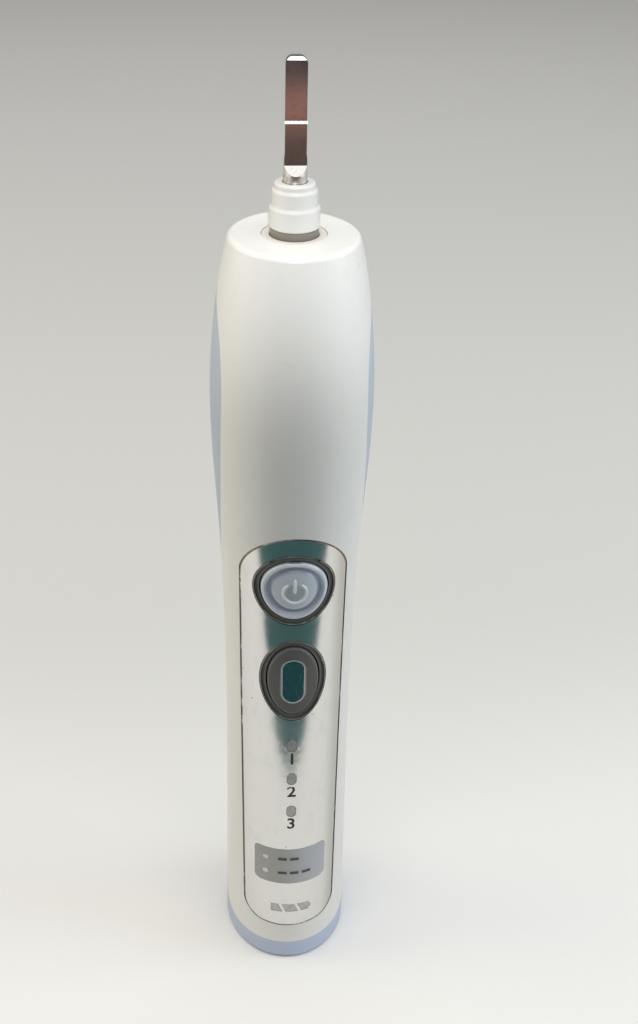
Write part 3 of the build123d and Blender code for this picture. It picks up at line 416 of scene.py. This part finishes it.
def shaft_steel():
    """Polished steel with fine turning marks, dulled and stained at its root."""
    color = (0.74, 0.72, 0.70)
    finish = turning_marks(Finish("shaft_steel", color, metallic=1.0), color)
    collar_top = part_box("drive_shaft")[1].z - SHAFT_EXPOSED
    height = finish.math("SUBTRACT", finish.axis("Z"), collar_top)
    root = finish.step(height, ROOT_HEIGHT, ROOT_HEIGHT - ROOT_BLUR)
    stains = finish.math("MULTIPLY", root, finish.patches(0.7 * MM, 0.35, 0.65))
    finish.tint(stains, (0.40, 0.35, 0.29), share=0.7)
    uneven = finish.math("MULTIPLY", finish.noise(1.5 * MM, (1, 1, 2)), 0.25)
    finish.vary("Roughness", finish.math("MAXIMUM", uneven, root), 0.04, 0.34)
    return finish.material


def dull_ring():
    """Dull beige-grey ring, with painted shade in its corners."""
    finish = moulded_plastic("grey_metal", (0.25, 0.236, 0.198), (0.205, 0.19, 0.158), 0.35, 0.2 * MM)
    # Painted shade: near black in the ring's corners under the collar, from a crevice mask.
    finish.tint(finish.crevice(1.0 * MM), (0.07, 0.055, 0.04), share=0.8)
    return finish.material


def coil_wire():
    """Lacquered copper, wound in fine turns."""
    finish = Finish("coil_wire", (0.62, 0.25, 0.09), 0.3, 0.9)
    turns = finish.node("ShaderNodeTexWave", {"Vector": finish.place, "Scale": 900.0}, bands_direction="Z")
    finish.tint(turns.outputs["Fac"], (0.42, 0.15, 0.05))
    finish.bump(turns.outputs["Fac"], 0.1 * MM)
    return finish.material


def circuit_board_green():
    """Green lacquer over raised tracks."""
    finish = Finish("circuit_board_green", (0.02, 0.13, 0.06), 0.35)
    tracks = finish.step(finish.cells(1.3 * MM), 0.45, 0.5)
    finish.tint(tracks, (0.03, 0.20, 0.09))
    finish.bump(tracks, 0.03 * MM)
    return finish.material


def printed_ink(name, color):
    """Screen-printed ink with worn spots."""
    finish = Finish(name, color, 0.5)
    finish.tint(finish.patches(0.3 * MM, 0.62, 0.74), (0.35, 0.34, 0.33), share=0.5)
    finish.bump(finish.noise(0.12 * MM), 0.003 * MM)
    return finish.material


def patch_print():
    """Printed grey field, a little bluer to the right."""
    finish = Finish("patch_print", (0.36, 0.36, 0.34), 0.38, 0.35)
    to_right = finish.step(finish.axis("X"), -4 * MM, 6 * MM)
    finish.tint(to_right, (0.45, 0.47, 0.505))
    finish.tint(finish.patches(1.5 * MM, 0.5, 0.75), (0.43, 0.43, 0.42), share=0.3)
    finish.bump(finish.noise(0.2 * MM), 0.002 * MM)
    return finish.material


# Plain plastics, as colour, second shade and roughness
PLASTICS = {
    "white_base": ((0.80, 0.80, 0.77), (0.76, 0.755, 0.72), 0.42),
    # The symbol's strokes get a paler blue than the button: a painted highlight on its ridges.
    "symbol_highlight_blue": ((0.82, 0.86, 0.90), (0.78, 0.83, 0.88), 0.3),
    "white_collar": ((0.78, 0.777, 0.765), (0.75, 0.745, 0.73), 0.4),
    "cream_ring": ((0.82, 0.80, 0.74), (0.74, 0.70, 0.62), 0.4),
    "inner_plastic": ((0.60, 0.60, 0.58), (0.55, 0.55, 0.53), 0.5),
    "bush_plastic": ((0.12, 0.12, 0.13), (0.10, 0.10, 0.11), 0.4),
    "seal_rubber": ((0.05, 0.05, 0.055), (0.04, 0.04, 0.04), 0.65),
    "battery_sleeve": ((0.05, 0.13, 0.32), (0.04, 0.11, 0.28), 0.3),
    "chip_black": ((0.03, 0.03, 0.032), (0.04, 0.04, 0.04), 0.55),
    "lamp_white": ((0.75, 0.75, 0.68), (0.70, 0.69, 0.60), 0.3),
}

# Turned metals, as colour and roughness
METALS = {
    "spring_steel": ((0.45, 0.46, 0.50), 0.25),
    "screw_steel": ((0.40, 0.40, 0.40), 0.3),
    "pin_metal": ((0.78, 0.66, 0.38), 0.25),
    "core_iron": ((0.25, 0.25, 0.26), 0.45),
    "magnet_plate": ((0.58, 0.58, 0.60), 0.2),
}

LENS_COLORS = {
    "mode_lens": (0.43, 0.427, 0.41),
    "battery_lens": (0.50, 0.493, 0.473),
    "pale_dot": (0.62, 0.62, 0.60),
}
INK_COLORS = {"label_ink": (0.035, 0.034, 0.033), "dash_ink": (0.075, 0.075, 0.078)}

FINISHES = {
    "white_casing": white_casing(),
    "blue_grip": blue_grip(),
    "silver_panel": silver_panel(),
    "panel_edge": panel_edge(),
    "blue_button": blue_button(),
    "grey_button": grey_button(),
    "dark_gasket": dark_gasket(),
    "mirror_window": mirror_window(),
    "bright_bezel": bright_bezel(),
    "recess_edge": recess_edge(),
    "grey_metal": dull_ring(),
    "shaft_steel": shaft_steel(),
    "copper_wire": coil_wire(),
    "green_board": circuit_board_green(),
    "patch_print": patch_print(),
}
FINISHES |= {name: moulded_plastic(name, *looks).material for name, looks in PLASTICS.items()}
FINISHES |= {name: turned_metal(name, *looks) for name, looks in METALS.items()}
FINISHES |= {name: smoke_lens(name, color) for name, color in LENS_COLORS.items()}
FINISHES |= {name: printed_ink(name, color) for name, color in INK_COLORS.items()}

# Windows whose finish differs from the one their slot names
OWN_FINISH = {"mode_lenses": "mode_lens", "routine_lenses": "pale_dot", "battery_lenses": "battery_lens"}


def dress_parts():
    """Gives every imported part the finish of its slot."""
    for name, part in nodes.items():
        for material_slot in part.material_slots:
            material_slot.material = FINISHES[OWN_FINISH.get(name, material_slot.material.name)]


def surface_trees():
    """Search trees of the parts that make up the casing."""
    names = ("front_shell", "rear_shell", "face_panel")
    depsgraph = bpy.context.evaluated_depsgraph_get()
    return [BVHTree.FromObject(nodes[name], depsgraph) for name in names]


CASING_TREES = surface_trees()


def first_hit(start, direction):
    """Nearest point of the casing along a ray."""
    hits = [tree.ray_cast(start, direction) for tree in CASING_TREES]
    return min((hit for hit in hits if hit[0] is not None), key=lambda hit: hit[3])[0]


def casing_front(x, z):
    """The casing's front, as its Y at a place across and up. Half an ellipse bridges the openings."""
    half_width = first_hit(Vector((PROBE_REACH, 0, z)), Vector((-1, 0, 0))).x
    side_y = first_hit(Vector((PROBE_X, -PROBE_REACH, z)), Vector((0, 1, 0))).y
    depth = -side_y / math.sqrt(1 - (PROBE_X / half_width) ** 2)
    return -depth * math.sqrt(1 - (x / half_width) ** 2)


def smooth(t):
    """Smooth step from 0 to 1."""
    t = min(max(t, 0.0), 1.0)
    return t * t * (3 - 2 * t)


def new_piece(name, vertices, faces, body, finish):
    """Smooth-shaded mesh that rides on a body."""
    mesh = bpy.data.meshes.new(name)
    mesh.from_pydata(vertices, [], faces)
    mesh.validate()
    mesh.shade_smooth()
    mesh.set_sharp_from_angle(angle=SHARP_ANGLE)
    mesh.materials.append(FINISHES[finish])
    piece = bpy.data.objects.new(name, mesh)
    bpy.context.scene.collection.objects.link(piece)
    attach(piece, body)
    return piece


def ring_faces(rings, around, closed=False):
    """Quads between rings of points, each with the same number of points around."""
    last = rings if closed else rings - 1
    return [
        (
            ring * around + k,
            ring * around + (k + 1) % around,
            (ring + 1) % rings * around + (k + 1) % around,
            (ring + 1) % rings * around + k,
        )
        for ring in range(last)
        for k in range(around)
    ]


def island_height(r):
    """Height of the power button's domed island over the casing at a distance from its middle."""
    return ISLAND_HEIGHT + ISLAND_DOME * (1 - (r / ISLAND_RADIUS) ** 2)


def power_height(r, radius):
    """Height of the power button's front over the casing at a distance from its middle."""
    to_moat = smooth((r - ISLAND_RADIUS) / ISLAND_SLOPE + 0.5)
    rim_start = radius - RIM_ROUNDING - RIM_TOP_WIDTH - RIM_SLOPE
    to_rim = smooth((r - rim_start) / RIM_SLOPE)
    island = island_height(r)
    height = island + (MOAT_HEIGHT - island) * to_moat + (RIM_HEIGHT - MOAT_HEIGHT) * to_rim
    past = max(r - (radius - RIM_ROUNDING), 0.0) / RIM_ROUNDING
    return height - RIM_FALL * (1 - math.sqrt(max(1 - past * past, 0.0)))


def power_button(middle_z):
    """Round button: a grid of rings over its front, then its side wall and its back."""
    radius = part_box("power_button")[1].x
    around = 128
    front_rings = 56
    distances = [radius * math.sin(math.pi / 2 * i / front_rings) for i in range(1, front_rings + 1)]
    vertices = []
    for r in distances:
        for k in range(around):
            angle = 2 * math.pi * k / around
            x, z = r * math.cos(angle), middle_z + r * math.sin(angle)
            vertices.append((x, casing_front(x, z) - power_height(r, radius), z))
    for k in range(around):
        x, _, z = vertices[(front_rings - 1) * around + k]
        vertices.append((x, casing_front(x, z) + BUTTON_DEPTH, z))
    faces = ring_faces(front_rings + 1, around)
    front_middle = len(vertices)
    vertices.append((0, casing_front(0, middle_z) - island_height(0), middle_z))
    back_middle = len(vertices)
    vertices.append((0, casing_front(0, middle_z) + BUTTON_DEPTH, middle_z))
    faces += [(front_middle, (k + 1) % around, k) for k in range(around)]
    back = front_rings * around
    faces += [(back_middle, back + k, back + (k + 1) % around) for k in range(around)]
    cap = new_piece("power_button_cap", vertices, faces, "power_key", "blue_button")
    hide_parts("power_button")


def curve_mesh(curve):
    """Mesh of a curve or a line of text, without an object of its own."""
    holder = bpy.data.objects.new(curve.name, curve)
    bpy.context.scene.collection.objects.link(holder)
    mesh = bpy.data.meshes.new_from_object(holder)
    bpy.data.objects.remove(holder)
    return mesh


def ridge(name, points, radius, body, finish):
    """Rounded ridge along a line of points, its ends drawn in."""
    end_steps = 4
    end_share = 0.25
    curve = bpy.data.curves.new(name, "CURVE")
    curve.dimensions = "3D"
    curve.bevel_depth = radius
    curve.bevel_resolution = 5
    curve.use_fill_caps = True
    spline = curve.splines.new("POLY")
    spline.points.add(len(points) - 1)
    last = len(points) - 1
    for i, point in enumerate(points):
        spline.points[i].co = (*point, 1)
        spline.points[i].radius = math.sqrt(min(1.0, end_share + min(i, last - i) / end_steps))
    mesh = curve_mesh(curve)
    vertices = [tuple(v.co) for v in mesh.vertices]
    faces = [tuple(p.vertices) for p in mesh.polygons]
    bpy.data.meshes.remove(mesh)
    new_piece(name, vertices, faces, body, finish)


def standby_symbol(middle_z):
    """Broken ring with an upright bar in its gap, embossed on the island."""
    ring_z = middle_z - SYMBOL_DROP

    def on_island(x, z):
        return x, casing_front(x, z) - island_height(math.hypot(x, z - middle_z)), z

    steps = 60
    first = math.pi / 2 + SYMBOL_GAP / 2
    sweep = 2 * math.pi - SYMBOL_GAP
    angles = [first + sweep * i / steps for i in range(steps + 1)]
    broken_ring = [
        on_island(SYMBOL_RADIUS * math.cos(angle), ring_z + SYMBOL_RADIUS * math.sin(angle))
        for angle in angles
    ]
    bar_steps = 20
    bar = [on_island(0, ring_z + SYMBOL_BAR * i / bar_steps) for i in range(bar_steps + 1)]
    ridge("standby_ring", broken_ring, SYMBOL_STROKE, "power_key", "symbol_highlight_blue")
    ridge("standby_bar", bar, SYMBOL_STROKE, "power_key", "symbol_highlight_blue")


def rolled_section(inset, width, crest):
    """Rolled edge, as (outward, height) pairs up its outer side, over the crest and down its inner side."""
    steps = 10
    middle = -inset - width / 2
    roll = [
        (
            middle + width / 2 * math.cos(math.pi * i / steps),
            crest - ROLL_HEIGHT * (1 - math.sin(math.pi * i / steps)),
        )
        for i in range(steps + 1)
    ]
    return [(-inset, ROLL_FOOT), *roll, (-inset - width, ROLL_FOOT)]


def recess_ring(name, gasket, section, finish):
    """Rolled ring inside a button's opening, an ellipse that follows the gasket's outer edge."""
    low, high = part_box(gasket)
    middle_z = middle_height(gasket)
    half_width, half_height = high.x, (high.z - low.z) / 2
    around = 160
    vertices = []
    for k in range(around):
        angle = 2 * math.pi * k / around
        edge_x, edge_z = half_width * math.cos(angle), half_height * math.sin(angle)
        outward = Vector((edge_x / half_width ** 2, 0, edge_z / half_height ** 2)).normalized()
        for offset, height in section:
            x = edge_x + outward.x * offset
            z = middle_z + edge_z + outward.z * offset
            vertices.append((x, casing_front(x, z) - height, z))
    faces = ring_faces(around, len(section), closed=True)
    new_piece(name, vertices, faces, "handle", finish)


def recess_rings(button):
    """Worn lip and rubber bead round a button."""
    gasket = f"{button}_button_gasket"
    lip = rolled_section(LIP_INSET, LIP_WIDTH, LIP_CREST)
    recess_ring(f"{button}_recess_lip", gasket, lip, "recess_edge")
    bead = rolled_section(BEAD_INSET, BEAD_WIDTH, BEAD_CREST)
    recess_ring(f"{button}_gasket_bead", gasket, bead, "dark_gasket")


def laid_on_panel(x, z, lift=PRINT_LIFT):
    """Point a lift in front of the panel."""
    return x, casing_front(x, z) - lift, z


def printed_number(name, text, middle_z):
    """Plain number printed on the panel, cut finely enough to lie on its curve."""
    curve = bpy.data.curves.new(name, "FONT")
    curve.body = text
    curve.size = LABEL_SIZE
    curve.offset = LABEL_BOLD
    curve.align_x = "CENTER"
    curve.align_y = "CENTER"
    mesh = curve_mesh(curve)
    fine = bmesh.new()
    fine.from_mesh(mesh)
    bmesh.ops.triangulate(fine, faces=fine.faces[:])
    bmesh.ops.subdivide_edges(fine, edges=fine.edges[:], cuts=LABEL_CUTS, use_grid_fill=True)
    fine.verts.index_update()
    vertices = [laid_on_panel(v.co.x, middle_z + v.co.y) for v in fine.verts]
    faces = [tuple(v.index for v in face.verts) for face in fine.faces]
    fine.free()
    bpy.data.meshes.remove(mesh)
    new_piece(name, vertices, faces, "handle", "label_ink")


def mode_numbers():
    """A number under each mode window."""
    low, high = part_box("mode_lenses")
    pitch = (high.z - low.z - LENS_HEIGHT) / (MODE_COUNT - 1)
    for i in range(MODE_COUNT):
        lens_z = high.z - LENS_HEIGHT / 2 - pitch * i
        printed_number(f"mode_number_{i + 1}", str(i + 1), lens_z - LABEL_DROP)


def corner_drop(x, half_width, radius):
    """How far a rounded corner draws an edge in at a distance from the middle."""
    past = max(abs(x) - (half_width - radius), 0.0)
    return radius - math.sqrt(max(radius * radius - past * past, 0.0))


def panel_sheet(name, columns, edges, lift, finish):
    """Thin sheet on the panel: columns across, and for each column a lower and an upper edge."""
    rows = 12
    vertices = []
    for x in columns:
        low, high = edges(x)
        vertices += [laid_on_panel(x, low + (high - low) * i / rows, lift) for i in range(rows + 1)]
    count = rows + 1
    faces = [
        (c * count + i, (c + 1) * count + i, (c + 1) * count + i + 1, c * count + i + 1)
        for c in range(len(columns) - 1)
        for i in range(rows)
    ]
    return new_piece(name, vertices, faces, "handle", finish)


def round_columns(middle, half_width, count):
    """Places across a round or rounded field, closer together towards its ends."""
    return [middle - half_width * math.cos(math.pi * i / count) for i in range(count + 1)]


def routine_dot(name, dot_x, dot_z):
    """Round pale dot on the patch."""

    def edges(x):
        half = math.sqrt(max(DOT_RADIUS ** 2 - (x - dot_x) ** 2, 0.0))
        return dot_z - half, dot_z + half

    columns = round_columns(dot_x, DOT_RADIUS, DOT_COLUMNS)
    return panel_sheet(name, columns, edges, 2 * PRINT_LIFT, "pale_dot")


def routine_dash(name, start, middle_z):
    """Plain dash on the patch."""

    def edges(x):
        return middle_z - DASH_HEIGHT / 2, middle_z + DASH_HEIGHT / 2

    columns = [start + DASH_LENGTH * i / DASH_COLUMNS for i in range(DASH_COLUMNS + 1)]
    panel_sheet(name, columns, edges, 2 * PRINT_LIFT, "dash_ink")


def routine_patch():
    """Grey printed field with two rows, each a pale dot and a few plain dashes."""
    low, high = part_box("routine_lenses")
    top = high.z + PATCH_MARGIN_TOP
    bottom = low.z - PATCH_MARGIN_BOTTOM

    def edges(x):
        lower = bottom + corner_drop(x, PATCH_HALF_WIDTH, PATCH_BOTTOM_CORNER)
        upper = top - corner_drop(x, PATCH_HALF_WIDTH, PATCH_TOP_CORNER)
        return lower, upper

    columns = round_columns(0, PATCH_HALF_WIDTH, PATCH_COLUMNS)
    panel_sheet("routine_patch", columns, edges, PRINT_LIFT, "patch_print")
    dot_x = (low.x + high.x) / 2
    lens_radius = (high.x - low.x) / 2
    for row, dot_z in enumerate((high.z - lens_radius, low.z + lens_radius), start=1):
        dot = routine_dot(f"routine_dot_{row}", dot_x, dot_z)
        if row == 1:
            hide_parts("routine_lenses")
        for i in range(row + 1):
            routine_dash(f"routine_dash_{row}_{i + 1}", dot_x + DASH_START + DASH_PITCH * i, dot_z)


def paper_floor():
    """Plain paper that the handle stands on. Its colour is painted light: brightest in front of the handle,
    greyer behind it, a little paler again far off.
    """
    finish = Finish("paper", (0.97, 0.965, 0.95), 0.9)
    # Painted light: a bright pool in front of the handle, greyer behind, paler again far off.
    finish.tint(finish.step(finish.axis("Y"), -0.03, 0.13), (0.75, 0.75, 0.735))
    finish.tint(finish.step(finish.axis("Y"), 0.35, 0.95), (0.86, 0.855, 0.84))
    finish.bump(finish.noise(0.4 * MM), 0.01 * MM)
    return finish.material


def flat_card(name, x_low, x_high, y_low, y_high, z, material):
    """Flat sheet of the stage, lying level."""
    mesh = bpy.data.meshes.new(name)
    corners = [(x_low, y_low, z), (x_high, y_low, z), (x_high, y_high, z), (x_low, y_high, z)]
    mesh.from_pydata(corners, [], [(0, 1, 2, 3)])
    mesh.materials.append(material)
    card = bpy.data.objects.new(name, mesh)
    bpy.context.scene.collection.objects.link(card)
    return card


def dark_card(name, x_half, y_low, y_high, color, later_colors):
    """Card on the floor in front of the handle, out of the picture: polished parts mirror its upper face,
    which takes on each later colour from a place further out. Its lower face lets light through, so the
    floor under it stays as bright as the rest."""
    finish = Finish(name, color, 0.9)
    for y, later_color in later_colors:
        finish.tint(finish.step(finish.axis("Y"), y + CARD_BLUR, y - CARD_BLUR), later_color)
    finish.bump(finish.noise(5 * MM), 0.1 * MM)
    from_below = finish.node("ShaderNodeNewGeometry").outputs["Backfacing"]
    clear = finish.node("ShaderNodeBsdfTransparent").outputs[0]
    one_sided = finish.node("ShaderNodeMixShader", {0: from_below, 1: finish.shader.outputs[0], 2: clear})
    finish.tree.links.new(one_sided.outputs[0], finish.tree.nodes["Material Output"].inputs["Surface"])
    card = flat_card(name, -x_half, x_half, y_low, y_high, CARD_LIFT, finish.material)
    card.visible_camera = False


def aim(holder, place, target):
    """Puts a lamp at a place, turned to a target."""
    holder.location = place
    holder.rotation_euler = (Vector(target) - Vector(place)).to_track_quat("-Z", "Y").to_euler()
    bpy.context.scene.collection.objects.link(holder)


def softbox(name, place, target, size, watts, color):
    """Large soft lamp that looks at a target."""
    lamp = bpy.data.lights.new(name, "AREA")
    lamp.shape = "RECTANGLE"
    lamp.size, lamp.size_y = size
    lamp.energy = watts
    lamp.color = color
    holder = bpy.data.objects.new(name, lamp)
    holder.visible_camera = False
    aim(holder, place, target)


def upper_spot(floor):
    """Soft-edged spot on the upper handle. It leaves the floor alone, so no hard shadow shows."""
    lamp = bpy.data.lights.new("upper_spot", "SPOT")
    lamp.energy = SPOT_WATTS
    lamp.spot_size = 2 * SPOT_HALF_ANGLE
    lamp.spot_blend = SPOT_BLEND
    lamp.shadow_soft_size = SPOT_RADIUS
    holder = bpy.data.objects.new("upper_spot", lamp)
    aim(holder, SPOT_PLACE, SPOT_TARGET)
    unlit = bpy.data.collections.new("not_lit_by_spot")
    unlit.objects.link(floor)
    holder.light_linking.receiver_collection = unlit
    unlit.collection_objects[0].light_linking.link_state = "EXCLUDE"


def studio():
    """Floor, cards that the polished parts mirror, soft lamps and an even room light."""
    floor = flat_card("floor", -FLOOR_REACH, FLOOR_REACH, -FLOOR_REACH, FLOOR_REACH, 0, paper_floor())
    panel_colors = [(-0.16, (0.025, 0.092, 0.105))]
    dark_card("teal_card", 0.20, CARD_MEETING, -0.0845, (0.038, 0.112, 0.12), panel_colors)
    shaft_colors = [(-0.66, (0.53, 0.255, 0.215)), (-0.765, (0.09, 0.085, 0.09))]
    dark_card("brown_card", 0.7, -1.6, CARD_MEETING, (0.118, 0.077, 0.069), shaft_colors)
    softbox("overhead", (0, -0.2, 1.2), (0, -0.1, 0), size=(1.5, 1.5), watts=7.7, color=LAMP_WHITE)
    softbox("overhead_strip", (0, 0, 1.15), (0, 0, 0), size=(0.3, 0.42), watts=2.3, color=LAMP_WHITE)
    softbox("left_fill", (-0.8, 0.1, 0.4), (0, 0, 0.1), size=(0.5, 0.7), watts=2.0, color=LAMP_WARM)
    softbox("right_fill", (0.85, -0.1, 0.4), (0, 0, 0.1), size=(0.5, 0.7), watts=2.7, color=LAMP_COOL)
    upper_spot(floor)
    world = bpy.data.worlds.new("room")
    world.use_nodes = True
    background = world.node_tree.nodes["Background"]
    background.inputs["Color"].default_value = ROOM_COLOR
    background.inputs["Strength"].default_value = ROOM_STRENGTH
    bpy.context.scene.world = world
    bpy.context.scene.view_settings.view_transform = "Standard"


def photo_camera():
    """Camera that looks down at the handle from close in front of it."""
    level = math.cos(CAMERA_PITCH)
    forward = Vector((math.sin(CAMERA_YAW) * level, math.cos(CAMERA_YAW) * level, -math.sin(CAMERA_PITCH)))
    right = Vector((math.cos(CAMERA_YAW), -math.sin(CAMERA_YAW), 0))
    up = right.cross(forward)
    image_right = math.cos(CAMERA_ROLL) * right + math.sin(CAMERA_ROLL) * up
    image_up = math.cos(CAMERA_ROLL) * up - math.sin(CAMERA_ROLL) * right
    data = bpy.data.cameras.new("camera")
    data.sensor_width = SENSOR
    data.lens = FOCAL_PIXELS / IMAGE_HEIGHT * SENSOR
    data.clip_start = 10 * MM
    camera = bpy.data.objects.new("camera", data)
    turn = Matrix((image_right, image_up, -forward)).transposed()
    camera.matrix_world = Matrix.Translation(CAMERA_PLACE) @ turn.to_4x4()
    bpy.context.scene.collection.objects.link(camera)
    bpy.context.scene.camera = camera


photo_camera()
dress_parts()
power_middle = middle_height("power_button")
power_button(power_middle)
standby_symbol(power_middle)
recess_rings("power")
recess_rings("mode")
mode_numbers()
routine_patch()
studio()
